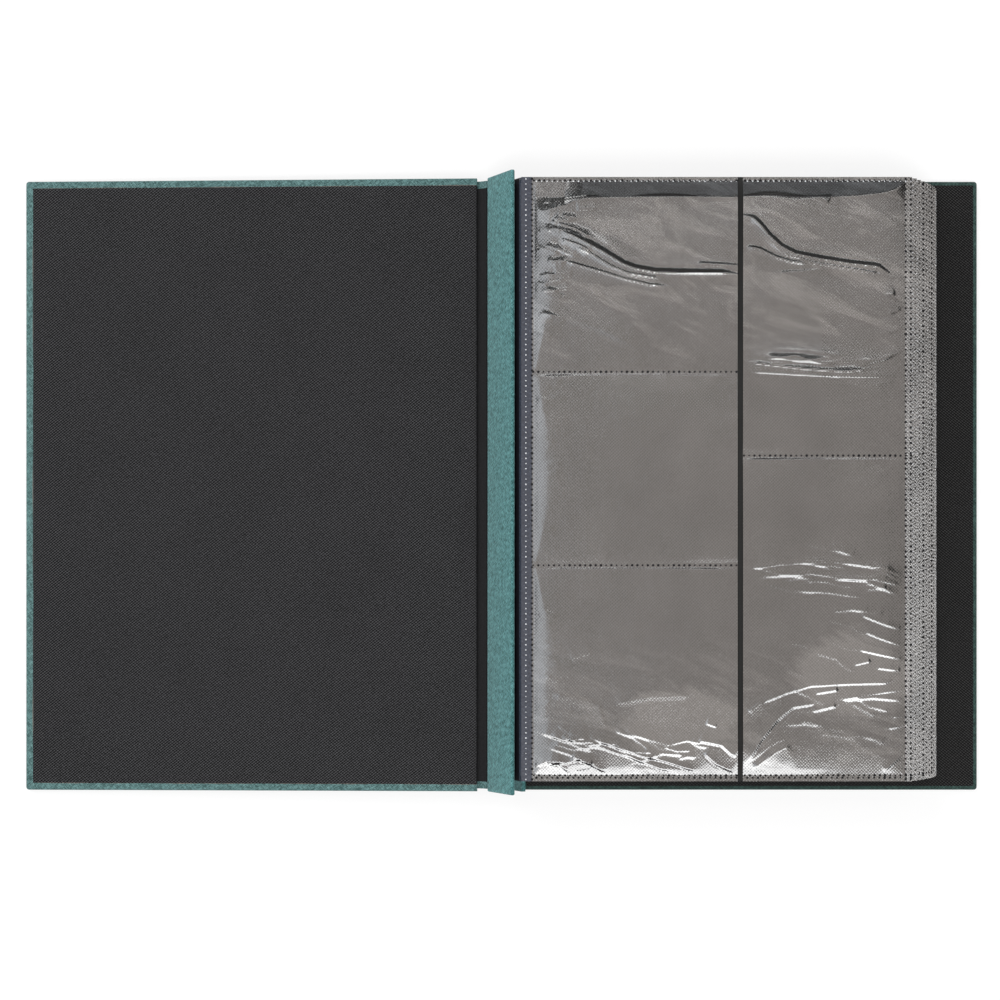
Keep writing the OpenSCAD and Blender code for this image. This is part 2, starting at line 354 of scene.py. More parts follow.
def makePocketFilm(name, haze, relief):
    material, tree, shader = newMaterial(name)
    look, vector = filmLook, objectVector(tree)
    grain, slow = toneOf(tree, vector, 0.9, 1.6), toneOf(tree, vector, 0.035, 1.4)
    hatch = times(tree, add(tree, *(waveLines(tree, vector, turn, look["hatch"], look["hatchWaver"])
                                    for turn in look["hatchTurns"])), 0.5)
    along = node(tree, "ShaderNodeSeparateXYZ", Vector=vector).outputs[1]
    thin = rangeOf(tree, along, *look["thin"])  # clearer toward the foot
    cloud = times(tree, times(tree, slow, thin), add(tree, grain, hatch))
    spun = mapped(tree, vector, Rotation=(0, 0, math.radians(look["pullTurn"])))
    pulled = mapped(tree, spun, Scale=look["pullScale"])
    streak = node(tree, "ShaderNodeTexNoise", Vector=pulled, Scale=1.0, Detail=4.0, Roughness=0.6, Distortion=1.1)
    ends = add(tree, rangeOf(tree, along, *look["headGlare"]), rangeOf(tree, along, *look["footGlare"]))
    paintedGlare = times(tree, rangeOf(tree, streak.outputs[0], *look["glareStreaks"]), ends)  # painted reflection: stronger coat in soft streaks toward head and foot
    for place, size in look["glarePatches"]:  # painted reflection: ragged patches of stronger coat near the foot, for glare
        patch = mapped(tree, vector, vector_type="TEXTURE", Location=place, Scale=size)
        far = node(tree, "ShaderNodeVectorMath", operation="LENGTH", Vector=patch)
        ragged = add(tree, far.outputs["Value"], streak.outputs[0])
        paintedGlare = mathNode(tree, "MAXIMUM", paintedGlare, rangeOf(tree, ragged, *look["glarePatchEdge"]))
    clear = add(tree, times(tree, hatch, look["hatchShare"]), times(tree, grain, look["grainShare"]))
    clear = add(tree, clear, times(tree, slow, look["slowShare"]))
    feed(tree, shader, {
        "Base Color": colourMix(tree, cloud, look["seen"], haze),
        "Roughness": rangeOf(tree, grain, 0, 1, *look["rough"]),
        "Normal": bump(tree, add(tree, grain, hatch), 0.3, relief),
        "Coat Weight": add(tree, rangeOf(tree, clear, *look["coat"]), paintedGlare),
        "Specular IOR Level": 1.0, "Coat IOR": 1.8, "Coat Roughness": 0.08})
    return material


# plain finishes: grain from dark to light, roughness, scale per mm, relief in metres, specular, metallic
plainLooks = {
    "greyBoard": ((0.24, 0.22, 0.19), (0.38, 0.35, 0.31), 0.88, 0.6, 0.0002),
    "postSteel": ((0.55, 0.56, 0.58), (0.68, 0.69, 0.70), 0.28, 1.5, 0.00002, 0.4, 1.0),
    "spacerCard": ((0.012, 0.012, 0.013), (0.03, 0.03, 0.032), 0.75, 1.2, 0.0001),
    "corePaper": ((0.005, 0.005, 0.005), (0.022, 0.022, 0.021), 0.8, 1.6, 0.0001, 0.12),
    "marginFilm": ((0.009, 0.011, 0.018), (0.028, 0.034, 0.052), 0.24, 0.9, 0.0001, 0.38),
    # painted shade for the margin film where it runs down beside the flap
    "gutterFilm": ((0.002, 0.002, 0.003), (0.006, 0.006, 0.008), 0.5, 0.7, 0.0001, 0.1),
    # painted shade: the lining in the joint's groove, darker than the covers' lining
    "jointPaper": ((0.003, 0.003, 0.003), (0.016, 0.016, 0.017), 0.8, 1.4, 0.0001, 0.1),
    "weldDark": ((0.004, 0.004, 0.005), (0.011, 0.011, 0.012), 0.5, 2.0, 0.00005, 0.08),
    # painted highlight: pale dots stand in for glints on the pressed domes and the film's edge
    "weldPale": ((0.36, 0.37, 0.39), (0.62, 0.63, 0.65), 0.3, 2.0, 0.00005),
}


def plainGrain(name, dark, light, rough, scale, relief, specular=0.4, metallic=0.0):
    material, tree, shader = newMaterial(name)
    grain = toneOf(tree, objectVector(tree), scale, 1.5)
    feed(tree, shader, {
        "Base Color": colourMix(tree, grain, dark, light),
        "Roughness": rangeOf(tree, grain, 0, 1, rough - 0.08, rough + 0.08),
        "Normal": bump(tree, grain, 0.3, relief), "Metallic": metallic, "Specular IOR Level": specular})
    return material


bookCloth = makeBookCloth("bookCloth", clothColours["binding"])
stripCloth = makeBookCloth("stripCloth", clothColours["binding"], albumSize["tilt"])
# the covers' teals are copies of the binding's cloth with painted shade, the back one darkest
shadedCoverTeals = {side: makeBookCloth(side + "Teal", clothColours[side]) for side in ("front", "back")}
# the back lining is painted darker as the leaves' shade
linings = {side: makeLiningPaper(side) for side in ("front", "back")}
pocketFilm = makePocketFilm("pocketFilm", filmLook["haze"], filmLook["relief"])
edgeFilm = makePocketFilm("edgeFilm", filmLook["edgeHaze"], filmLook["edgeRelief"])
plain = {name: plainGrain(name, *look) for name, look in plainLooks.items()}
print("materials ready")

# covers: cloth wrapped round the board, turned in on three sides with mitred corners
clothShape = {"edgeRadius": 0.8, "leastRadius": 0.2, "cutLip": (0.3, 0.02), "inside": (2.6, 1.5), "outside": (2.5, 9),
              "outsideFrom": 2, "mitreDip": 0.16, "mitreRows": (1, 5), "cutWave": 0.12, "sideEnd": 150,
              "runPoints": 22, "sidePoints": 30, "arcPoints": 7}


def coverOutline(inset):  # three sides of the cover, from the hinge round the fore edge
    a, c = albumSize, clothShape
    x1, y1 = a["jointWidth"] + a["coverWidth"] - inset, a["coverHeight"] / 2 - inset
    r = max(a["cornerRadius"] - inset, c["leastRadius"])
    run = [(x, y1) for x in np.linspace(a["jointWidth"], x1 - r, c["runPoints"])[:-1]]
    half = run + arc(x1 - r, y1 - r, r, 90, 0, c["arcPoints"])
    side = [(x1, y) for y in np.linspace(y1 - r, r - y1, c["sidePoints"])[1:-1]]
    return half + side + [(x, -y) for x, y in half[::-1]]


def coverCloth(name, place, body, replaced, cloth, outside):
    a, c = albumSize, clothShape
    inner, outer = a["hingeGap"], a["hingeGap"] + a["coverThick"]
    e, n, (lip, drop), (firstMitre, lastMitre) = c["edgeRadius"], c["arcPoints"], c["cutLip"], c["mitreRows"]
    profile = [(a["turnIn"], inner), (a["turnIn"] - lip, inner - drop)] + [(x, inner) for x in c["inside"]]
    profile += arc(e, inner + e, e, 270, 180, n) + [(0, (inner + outer) / 2)] + arc(e, outer - e, e, 180, 90, n)
    profile += [(x, outer) for x in c["outside"]]
    points, flat = [], []
    for i, ((inset, z), gone) in enumerate(zip(profile, lengths(profile))):
        flat += coverOutline(a["turnIn"] - gone)
        ring = coverOutline(inset)
        corners = c["runPoints"] - 1 + n // 2, len(ring) - c["runPoints"] - n // 2
        for j, (x, y) in enumerate(ring):
            dip = c["mitreDip"] * (j in corners and firstMitre <= i <= lastMitre)
            if i < 2:  # the cut edge of the cloth isn't quite straight
                wave = c["cutWave"] * (math.sin(j * 1.7) + math.sin(j * 0.61 + 1))
                x, y = (x, y + math.copysign(wave, y)) if abs(y) > c["sideEnd"] else (x + wave, y)
            points.append((x, y, z + dip))
    rings, m = len(profile), len(ring)
    faces = gridFaces(rings, m) + [list(range((rings - 1) * m, rings * m))[::-1]]
    piece = newPiece(name, points, faces, cloth, place, a["clothThick"], flat=flat)
    piece.data.materials.append(outside)
    depth = [np.dot(np.array(f.center) * mm - place[0], place[1][2]) for f in piece.data.polygons]
    piece.data.polygons.foreach_set("material_index", [int(d > inner + c["outsideFrom"]) for d in depth])
    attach(piece, body)
    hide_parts(replaced)


liningShape = {"frontShown": 3.9, "backShown": 2.1, "sink": 0.05, "overCloth": 0.1, "foldFrom": 4, "foldDip": (2, 0.03),
               "foldRadius": 0.8, "foldDepth": 2.8, "acrossPoints": 24, "foldPoints": 6, "alongPoints": 40}


def coverLining(name, place, body, replaced, shown, paper):  # glued paper, folded over the board's hinge edge
    a, c = albumSize, liningShape
    z, x0, x1 = a["hingeGap"] + c["sink"], a["jointWidth"], a["jointWidth"] + a["coverWidth"] - shown
    half, r, (dipIn, dip) = a["coverHeight"] / 2 - shown, c["foldRadius"], c["foldDip"]
    if shown < a["turnIn"]:  # over the turned-in cloth
        z -= c["overCloth"]
    profile = [(x, z) for x in np.linspace(x1, x0 + c["foldFrom"], c["acrossPoints"])] + [(x0 + dipIn, z - dip)]
    profile += arc(x0 + r, z + r, r, 270, 180, c["foldPoints"]) + [(x0, z + c["foldDepth"])]
    points, faces, flat = ribbon(profile, np.linspace(-half, half, c["alongPoints"]))
    piece = newPiece(name, points, faces, paper, place, a["liningThick"], (0, 0, -1), flat)
    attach(piece, body)
    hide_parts(replaced)


# the joint runs from the cover's outer corner to the binding's inner one, then on under the binding's edge
jointShape = {"atCover": (0.3, -0.75), "atBinding": (0.2, 0.5), "sag": 0.5, "clothUnder": 0.36, "clothThinner": 0.05,
              "tuck": ((-0.25, 0.9), (-0.9, 1.35), (-1.7, 1.75)), "paperThick": 0.3, "bendFrom": 1.2, "bendTo": -0.6,
              "bendDepth": 0.6, "acrossPoints": 9, "alongPoints": 60, "endPoints": 6, "paperPoints": 50}


def coverJoint(name, place, replaced, teal):  # cloth groove with its lining painted dark as the groove's shade, teal only at the turned-in ends
    a, c = albumSize, jointShape
    outer, half = a["hingeGap"] + a["coverThick"], a["coverHeight"] / 2 - a["jointSetback"]
    start, end = np.array([a["jointWidth"], outer]) + c["atCover"], np.array([0, a["hingeGap"]]) + c["atBinding"]
    groove = [start + (end - start) * s + np.array([0, c["sag"]]) * math.sin(math.pi * s)
              for s in np.linspace(0, 1, c["acrossPoints"])] + [np.array(p) for p in c["tuck"]]
    under = [p + np.array([0, c["clothUnder"]]) for p in groove]
    points, faces, flat = ribbon(under, np.linspace(-half, half, c["alongPoints"]))
    for side in (-1, 1):
        more, moreFaces, moreFlat = ribbon(groove, side * np.linspace(half - a["turnIn"], half, c["endPoints"])[::side])
        faces += (np.array(moreFaces) + len(points)).tolist()
        points, flat = points + more, flat + moreFlat
    thick = a["clothThick"] - c["clothThinner"]
    cloth = newPiece(name + "Cloth", points, faces, teal, place, thick, (0, 0, -1), flat)
    points, faces, flat = ribbon(groove, np.linspace(a["turnIn"] - half, half - a["turnIn"], c["paperPoints"]))
    paper = newPiece(name + "Lining", points, faces, plain["jointPaper"], place, c["paperThick"], (0, 0, -1), flat)
    for piece, slot in ((cloth, "book_cloth"), (paper, "lining")):
        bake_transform(piece)
        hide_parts(replaced)


for side, place in (("front", frontPlace), ("back", backPlace)):
    coverCloth(side + "CoverCloth", place, side + "_cover", side + "_cloth", shadedCoverTeals[side], shadedCoverTeals["front"])
    shown = liningShape[side + "Shown"]
    coverLining(side + "CoverLining", place, side + "_cover", side + "_lining", shown, linings[side])
    coverJoint(side + "Joint", place, side + "_joint", shadedCoverTeals["front"])
print("covers dressed")

# binding: the flap's board wrapped in cloth, with soft edges
wrapShape = {"edgeRadius": 0.8, "leastRadius": 0.12, "bow": 0.06, "bowRate": 0.021, "arcPoints": 6, "runPoints": 70}


def dressFlap():
    a, w = albumSize, wrapShape
    r, n, half = w["edgeRadius"], w["arcPoints"], a["coverHeight"] / 2
    x0, width, thick = a["hingeGap"], a["flapWidth"], a["flapThick"]
    low = a["hingeGap"] + thick + a["stackThick"]
    ends = [(half - r + r * math.sin(t), r - r * math.cos(t)) for t in np.linspace(math.pi / 2, 0, n)]
    rows = ends + [(y, 0) for y in np.linspace(half - r, r - half, w["runPoints"])[1:-1]]
    rows += [(-y, inset) for y, inset in ends[::-1]]
    points, flat, m = [], [], 4 * n
    for y, inset in rows:
        bow = w["bow"] * math.sin(y * w["bowRate"] + 1)  # boards are never quite straight
        tight = max(r - inset, w["leastRadius"])
        shift = tight + inset - r
        for right, up, angle in ((1, -1, -90), (1, 1, 0), (-1, 1, 90), (-1, -1, 180)):  # round the four corners
            cx, cz = x0 + width - r if right > 0 else x0 + r, low + thick - r if up > 0 else low + r
            corner = arc(cx - shift * right, cz - shift * up, tight, angle, angle + 90, n)
            points += [(x + bow, y, z) for x, z in corner]
        flat += [(s, y) for s in lengths([(p[0], p[2]) for p in points[-m:]])]
    faces = gridFaces(len(rows), m)
    faces += [[i * m + m - 1, (i + 1) * m + m - 1, (i + 1) * m, i * m] for i in range(len(rows) - 1)]
    faces = [f[::-1] for f in faces] + [list(range(m))[::-1], list(range((len(rows) - 1) * m, len(rows) * m))]
    piece = newPiece("flapCloth", points, faces, bookCloth, blockPlace, flat=flat)
    for i in (i for end in list(piece.data.polygons)[-2:] for i in end.loop_indices):  # ends lie flat on the map
        x, y, z = points[piece.data.loops[i].vertex_index]
        piece.data.uv_layers["surface"].data[i].uv = (x / mapUnit, z / mapUnit)
    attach(piece, "binding")
    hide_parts("flap_cloth")


dressFlap()
kept = {"strip_cloth": stripCloth, "spacer_strips": plain["spacerCard"], "leaf_tabs": plain["marginFilm"],
        "screw_posts": plain["postSteel"], "post_screws": plain["postSteel"]}
kept.update({name + "_board": plain["greyBoard"] for name in ("front", "back", "flap", "strip")})
kept.update({"core_%02d" % k: plain["corePaper"] for k in leafNumbers})
for name, material in kept.items():
    frame["nodes"][name].data.materials.clear()
    frame["nodes"][name].data.materials.append(material)
print("binding dressed")

# leaves: slack film over black cores
# a crease is its points from the folding line and the middle of the binding, height, width of slope and length of fall
# its slope faces left of its path, so one drawn left to right faces the head and stays dark
creases = {"left": [
    ([(15.5, 134), (20, 132), (28, 128.5), (41, 121.5), (52.5, 114.5), (59, 112), (70, 110), (88, 109.5), (107, 109.5),
      (114.5, 108.5)], 1.0, 3.5, 3.4),
    ([(22, 116), (30.5, 113.5), (41, 110.5), (54, 106.5), (67, 103.5), (77.5, 102.5)], 0.58, 1.6, 2.2),
    ([(26, 124), (35.5, 120), (46, 113.5), (55.5, 109.5), (74.5, 106.5)], 0.55, 1.5, 2.2),
    ([(21, 127.3), (29, 124.5), (36, 121)], 0.55, 1.6, 2.2),
    ([(92, 115), (114.5, 113.5)], 0.4, 1.3, 2.5),
    ([(11, 146), (25, 148.5), (43, 150.5)], 0.25, 1.1, 2.5),
    ([(39, 143.5), (28.5, 142.5)], 0.3, 1.2, 4),
    ([(39.5, 153), (30.5, 151.5)], 0.25, 0.9, 2),
    ([(35.5, 128), (29, 130), (18.5, 134)], 0.25, 0.9, 2),
    ([(29.5, 117), (21, 121), (12.5, 124)], 0.25, 0.9, 2),
    ([(23, 107), (18, 104.5), (10.5, 104)], 0.3, 1.2, 2.5),
    ([(25, 101.5), (19, 100.5), (10, 100)], 0.3, 1.2, 2.5),
    ([(60, 71), (41, 80.5), (24, 86), (10, 88)], 0.3, 3.5, 6),
    ([(93.5, -152.5), (75, -146.5), (62, -143.5), (47, -138.5), (34.5, -133.5)], 0.5, 1.7, 3),
    ([(88, -154), (72.5, -150.5), (56.5, -144.5), (41, -139.5)], 0.35, 1.4, 3),
    ([(45, -153), (35.5, -148), (25, -143), (14, -139.5)], 0.45, 1.5, 3),
    ([(26, -153.5), (18.5, -147.5), (13, -149)], 0.4, 1.3, 2.5),
    ([(112, -144.5), (105, -138), (92.5, -135.5)], 0.5, 2.2, 4),
    ([(111.5, -152.5), (102, -148), (95.5, -142)], 0.5, 2, 4),
    ([(102, -128.5), (96.5, -126.5)], 0.35, 1.6, 3),
    ([(88, -112.5), (67, -113), (49, -116.5)], 0.17, 3, 6),
    ([(16, -111), (28, -113), (40, -116.5), (44, -129)], 0.22, 1.6, 5),
    ([(36.5, -89.5), (25.5, -93)], 0.12, 1.6, 4),
], "right": [
    ([(115.5, 140), (121, 138.5), (125, 134.5), (129, 129.5), (135.5, 123.5), (143.5, 119.5), (156.5, 117),
      (172.5, 114.5), (187, 113), (193, 109.5)], 0.85, 3.1, 3.4),
    ([(118, 123.5), (125, 122), (133, 118), (141, 115.5), (149.5, 114.5)], 0.65, 2.0, 2.6),
    ([(135, 110), (146, 110.5), (158, 112)], 0.22, 1, 2.5),
    ([(127.5, 127.5), (138, 120), (152.5, 115), (178, 111), (191, 108.5)], 0.45, 1.4, 2.2),
    ([(164, 154), (159.5, 146)], 0.3, 1.1, 3),
    ([(196, 99), (190, 97.5)], 0.35, 1.3, 3),
    ([(199, 90.5), (192.5, 88)], 0.3, 1.2, 3),
    ([(199.5, 80.5), (191, 77.5)], 0.2, 1.2, 3),
    ([(200, 69), (190.5, 64.5), (176.5, 61)], 0.3, 1.5, 3),
    ([(184, 59.5), (169.5, 58), (146, 59.5), (116.5, 63)], 0.46, 1.5, 2.5),
    ([(193.5, 55), (162, 55.5), (117, 58)], 0.3, 1.2, 5),
    ([(187, 64), (160, 62.5), (117, 66)], 0.28, 1.2, 6),
    ([(201, -53), (187, -45.5), (163, -41.5), (136, -43), (117, -46)], 0.32, 1.7, 3.5),
    ([(199, -60), (180, -52), (152, -48), (124, -50)], 0.3, 1.6, 3.5),
    ([(201.5, -50), (188, -44.5), (169.5, -42.5)], 0.36, 1.5, 3.5),
    ([(199.5, -54.5), (185, -51), (162, -51.5)], 0.3, 1.4, 3),
    ([(200, -77.5), (190, -74.5), (177.5, -69.5)], 0.45, 1.7, 3.5),
    ([(199.5, -86), (188, -82), (179.5, -78.5)], 0.4, 1.4, 3),
    ([(200.5, -93), (190.5, -91), (176.5, -88)], 0.45, 1.6, 3),
    ([(183, -94), (174.5, -96)], 0.35, 1.3, 3),
    ([(199, -99), (186, -97.5)], 0.42, 1.6, 3),
    ([(195.5, -104), (191, -105.5), (169.5, -106), (151.5, -107), (138, -111), (125, -116.5)], 0.45, 1.5, 3),
    ([(201.5, -109), (183, -111.5), (168, -114)], 0.35, 1.1, 2.2),
    ([(201.5, -115), (184, -113.5), (168, -114.5)], 0.3, 1.1, 2.2),
    ([(166, -109), (154, -111)], 0.4, 1.6, 3),
    ([(165, -117.5), (152.5, -120.5)], 0.3, 1.4, 3),
    ([(155.5, -116), (142, -118), (133.5, -125), (125, -135.5), (117.5, -148)], 0.4, 2.2, 4),
    ([(118.5, -120.5), (126, -115.5)], 0.35, 1.3, 2.5),
    ([(201, -142.5), (190, -152)], 0.35, 1.3, 3),
    ([(121, -151), (133, -142), (141, -138)], 0.5, 4, 6),
    ([(201, -122.5), (194.5, -123.5)], 0.35, 1.2, 2.5),
    ([(201, -128), (192.5, -129.5)], 0.3, 1.2, 2.5),
]}
# small creases at random: seed, count, area, angle and its spread in degrees, lengths, heights, widths
puckers = {
    "left": [(5, 34, (7.5, 11, -120, 84), -6, 28, (5, 14), (0.03, 0.12), (0.7, 1.4)),
             (4, 5, (7.5, 13, 84, 140), -8, 22, (6, 19), (0.08, 0.18), (0.7, 1.3)),
             (3, 16, (18, 30, 84, 148), 172, 15, (7, 17), (0.10, 0.2), (0.8, 1.1)),
             (6, 24, (16, 100, -150, -134), 170, 24, (8, 26), (0.12, 0.35), (1.0, 2.0))],
    "right": [(9, 22, (150, 194, -140, -35), 165, 20, (8, 24), (0.06, 0.22), (1.0, 2.0)),
              (12, 7, (150, 198, 50, 66), 178, 5, (16, 40), (0.08, 0.2), (0.8, 1.3)),
              (14, 9, (150, 188, -62, -40), 170, 9, (16, 40), (0.08, 0.22), (0.8, 1.4))],
}
creaseShape = {"taper": 0.1, "endWidth": 0.45, "endHeight": 0.15, "sharpFrom": 0.3, "crest": 0.22, "crestWidth": 0.64,
               "lip": 0.24, "lipWidth": 0.66, "hollow": 0.6, "bend": 0.12, "falls": (2, 5)}


def slackWave(u, v, seed, wave, count=14):  # smooth random relief, about -1 to 1
    spin = np.random.RandomState(seed)
    total = np.zeros_like(u)
    for _ in range(count):
        angle, size, phase = spin.uniform(0, math.tau), wave * spin.uniform(0.7, 1.6), spin.uniform(0, math.tau)
        total += np.sin(math.tau * (u * math.cos(angle) + v * math.sin(angle)) / size + phase)
    return total / math.sqrt(count)


def creaseField(u, v, drawn):
    c, total = creaseShape, np.zeros_like(u)
    for path, height, width, fall in drawn:
        path = np.array(path, float)
        reach = 4 * fall + width
        (u0, v0), (u1, v1) = path.min(0) - reach, path.max(0) + reach
        near = (u > u0) & (u < u1) & (v > v0) & (v < v1)  # only points beside this crease
        pu, pv = u[near], v[near]
        steps = np.hypot(*np.diff(path, axis=0).T)
        best, offset, along = np.full_like(pu, 1e9), np.zeros_like(pu), np.zeros_like(pu)
        gone = 0
        for a, b, length in zip(path[:-1], path[1:], steps):
            du, dv = (b - a) / length
            t = np.clip((pu - a[0]) * du + (pv - a[1]) * dv, 0, length)
            d = np.hypot(pu - a[0] - t * du, pv - a[1] - t * dv)
            closer = d < best
            best = np.where(closer, d, best)
            offset = np.where(closer, np.where((pu - a[0]) * dv - (pv - a[1]) * du > 0, d, -d), offset)
            along = np.where(closer, (gone + t) / steps.sum(), along)
            gone += length
        taper = np.clip(np.minimum(along, 1 - along) / c["taper"], 0, 1)
        past = np.clip(best - np.abs(offset), 0, None)
        wide = width * (c["endWidth"] + (1 - c["endWidth"]) * taper)
        slope = np.clip(1 + offset / wide, 0, 1)  # one even slope
        behind, ahead = np.maximum(offset, 0), -offset - wide
        sharp = height > c["sharpFrom"]  # a sharp crest before the long fall, and a lip at the toe
        crest, lip = c["crest"] * sharp, c["lip"] * sharp
        back = (1 - crest) * np.exp(-(behind / fall) ** 1.3)
        back += crest * np.clip(1 - behind / (c["crestWidth"] * height), 0, 1)
        toe = lip * np.where(ahead > 0, np.exp(-np.maximum(ahead, 0) / fall),
                             np.clip(1 + ahead / (c["lipWidth"] * height), 0, 1))
        front = slope * slope * (1 + c["hollow"] - c["hollow"] * slope) + toe
        tall = height * (c["endHeight"] + (1 - c["endHeight"]) * taper)
        total[near] += tall * np.where(offset > 0, back, front) * np.exp(-past)
    return total


def randomCreases(seed, count, area, angle, spread, length, height, width):
    spin, most = np.random.RandomState(seed), creaseShape["bend"]
    made = []
    for _ in range(count):
        u, v = spin.uniform(area[0], area[1]), spin.uniform(area[2], area[3])
        turn = math.radians(angle + spin.uniform(-spread, spread))
        size, bend = spin.uniform(*length), spin.uniform(-most, most)
        c, s = math.cos(turn), math.sin(turn)
        middle = (u + size * (0.5 * c - bend * s), v + size * (0.5 * s + bend * c))
        made.append(([(u, v), middle, (u + size * c, v + size * s)],
                     spin.uniform(*height), spin.uniform(*width), spin.uniform(*creaseShape["falls"])))
    return made


def columnSpan(column):
    a = albumSize
    left = a["foldGap"] + a["borderWidth"]
    middle = left + a["columnWidth"]
    return (left, middle) if column == "left" else (middle + a["dividerWidth"], a["foldGap"] + a["leafWidth"])


def rowSeams(column):  # middles of the welds across a column
    a = albumSize
    top = a["leafHeight"] / 2
    steps = [a["smallPocket"], 2 * a["smallPocket"] + a["seamWidth"]] if column == "left" else [a["largePocket"]]
    return [top - s - 1.5 * a["seamWidth"] for s in steps]


def hump(x, middle, spread):
    return np.exp(-((x - middle) / spread) ** 2)


def climb(x, start, run, least=0.0):  # even rise from least to 1
    return np.clip((x - start) / run, least, 1)


# grids, welds, and how far from each weld the slack film takes to rise, in mm
filmShape = {
    "leftGrid": (0.52, 0.9, 0.52), "rightGrid": (0.56, 0.6), "edgeGrid": 0.9, "lowGrid": 4.0, "seed": 11,
    "foldWeld": 1.2, "foreWeld": 3.6, "headWeld": 2.2, "footWeld": 3.4, "rowWeld": 0.7,
    "slack": 0.9, "leftRise": 3.7, "rightRise": 21, "rowRise": 15, "footRise": 5.5, "lowLift": (0.02, 0.14),
    "divider": (114, 28), "footEase": (52, 20, 1.8), "dividerEase": 0.9, "headCorner": (0.75, 14),
    "topBand": 8.2, "bandWave": (0.10, 45), "topSlope": 0.17, "headPuff": (0.75, 48), "footPuff": (0.9, 30),
    "boundCorner": (21, 13), "pastBand": (0.3, 5, 16), "creaseHold": 3, "foreHold": 9,
    "leftSeamEdge": (112, 60, 8), "rightSeamEdge": (199, 160, 117), "seamDrop": 2.4, "seamCrease": (0.42, 0.9, 2),
    "ripple": (0.09, 0.10, 30, 40), "fineRipple": (0.012, 10),
}


def filmHeight(u, v, column, creased):  # height of the film over the core
    a, f, left = albumSize, filmShape, column == "left"
    u0, u1 = columnSpan(column)
    top, w = a["leafHeight"] / 2, v - a["leafShift"]
    inner = hump(u, *f["divider"])  # beside the divider
    easeFrom, easeRun, ease = f["footEase"]
    steep = f["footRise"] * (1 + ease * climb(u, easeFrom, easeRun) - f["dividerEase"] * inner)  # glare along the foot
    less, corner = f["headCorner"]
    reach = f[column + "Rise"] * (1 - (0 if left else less) * hump(w, top, corner))
    held = [(u - u0 - f["foldWeld"] if left else u1 - u - f["foreWeld"], reach), (w + top - f["footWeld"], steep)]
    held += [(np.abs(w - y) - f["rowWeld"], f["rowRise"]) for y in rowSeams(column)]
    lift = f["slack"] * np.minimum.reduce([1 - np.exp(-np.maximum(d, 0) / rise) for d, rise in held])
    if not creased:  # lower leaves lie flatter
        least, most = f["lowLift"]
        return least + most * lift / f["slack"] * (0.8 + 0.2 * slackWave(u, v, f["seed"], 60))
    down = np.maximum(top - w - f["headWeld"], 0)  # the film drops to the top weld in a broad wavy band
    sway, swayLength = f["bandWave"]
    band = f["topBand"] * (1 + sway * slackWave(u, np.zeros_like(v), f["seed"] + 3, swayLength))
    (headPuff, headLength), (footPuff, footLength) = f["headPuff"], f["footPuff"]
    lift = lift * (1 + headPuff * hump(down, 0, headLength) + footPuff * inner * hump(w, -top, footLength))
    near = climb(u, *f["boundCorner"], 0.1) if left else 1  # the band dies out at the bound corner
    steepness, pastFrom, pastRun = f["pastBand"]
    past = steepness * climb(u, pastFrom, pastRun, 0.1) * np.maximum(down - band, 0)
    lift = np.minimum(lift, 0.02 + f["topSlope"] * near * down + past)
    holds = [f["creaseHold"] if left else f["foreHold"]] + [f["creaseHold"]] * (len(held) - 1)
    hold = np.minimum.reduce([np.clip(d / run, 0, 1) for (d, rise), run in zip(held, holds)])
    hold *= np.clip((down - band) / f["creaseHold"] + 0.3, 0, 1)
    drawn = creases[column] + [crease for values in puckers[column] for crease in randomCreases(*values)]
    start, middle, end = f[column + "SeamEdge"]
    for y in (s + a["leafShift"] - f["seamDrop"] for s in rowSeams(column)):  # a fold under each row's weld
        drawn.append(([(start, y), (middle, y + 0.3), (end, y)], *f["seamCrease"]))
    low, more, fade, waveLength = f["ripple"]
    fine, fineLength = f["fineRipple"]
    relief = creaseField(u, v, drawn)
    relief += (low + more * np.exp(-down / fade)) * slackWave(u * 0.6, v, f["seed"] + 1, waveLength)
    relief += fine * slackWave(u, v, f["seed"] + 2, fineLength)
    return 0.03 + np.maximum(lift + relief * hold, 0)


def filmSheet(column, face, part=None, step=None):
    a, f = albumSize, filmShape
    half, creased, step = a["leafHeight"] / 2, bool(part), step or f["lowGrid"]
    u0, u1, v0, v1 = part or (*columnSpan(column), a["leafShift"] - half, a["leafShift"] + half)
    us = np.linspace(u0, u1, int((u1 - u0) / step) + 1)
    vs = np.linspace(v0, v1, int((v1 - v0) / step) + 1)
    u, v = np.meshgrid(us, vs, indexing="ij")
    z = face * (a["coreThick"] / 2 + filmHeight(u, v, column, creased) + a["filmThick"])
    faces = gridFaces(len(us), len(vs))
    return np.stack([u, v, z], -1).reshape(-1, 3), faces if face > 0 else [q[::-1] for q in faces]


def borderSheet(face):  # welded border beside the fold
    a = albumSize
    half, z = a["leafHeight"] / 2, face * (a["coreThick"] / 2 + a["filmThick"])
    across = [(x, z) for x in np.linspace(-a["foldGap"], a["foldGap"] + a["borderWidth"], 6)]
    points, faces = ribbon(across, np.linspace(a["leafShift"] - half, a["leafShift"] + half, 50))[:2]
    return np.array(points), faces if face > 0 else [q[::-1] for q in faces]


def joinSheets(sheets):
    points, faces = [], []
    for p, f in sheets:
        faces += (np.array(f) + sum(len(q) for q in points)).tolist()
        points.append(p)
    return np.concatenate(points), faces


